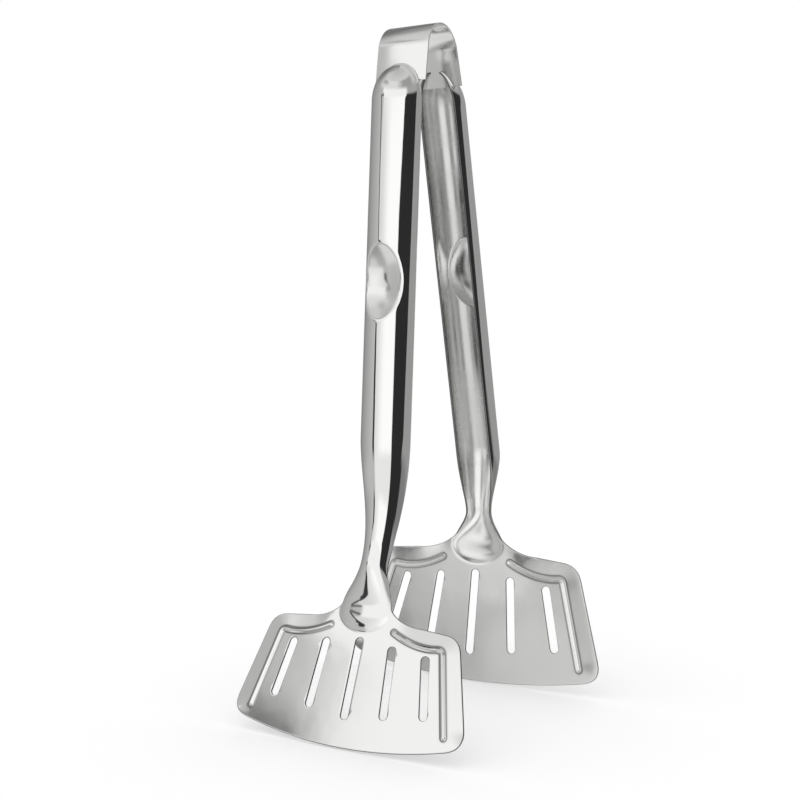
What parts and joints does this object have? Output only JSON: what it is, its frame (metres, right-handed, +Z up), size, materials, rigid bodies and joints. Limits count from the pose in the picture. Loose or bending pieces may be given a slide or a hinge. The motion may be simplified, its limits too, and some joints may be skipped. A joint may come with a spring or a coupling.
{
  "type": "fish spatula tongs",
  "caption": "Sprung stainless-steel tongs with channel handles, thumb dishes and wide slotted spatula blades for turning fish.",
  "frame": {"origin": "centre of the bounding box in X and Y, on the surface that the lower edges of both blades stand on", "axes": "+X across the blades, -Y towards the front arm with the smaller blade, +Z up to the bow of the spring"},
  "size_m": [0.1518, 0.1596, 0.3446],
  "materials": {
    "polished_steel": "mirror-polished stainless steel",
    "satin_steel": "satin stainless spring steel"
  },
  "bodies": {
    "rear": {"rear_arm": "polished_steel", "bow_spring": "satin_steel"},
    "front": {"front_arm": "polished_steel"}
  },
  "joints": [
    {"name": "closing", "type": "hinge", "parent": "rear", "child": "front", "pos_m": [0, -0.00937, 0.33855], "axis": [1, 0, 0], "range_deg": [0, 22.5], "stiffness_Nm_per_rad": 1.2, "deforming": ["bow_spring"]}
  ]
}
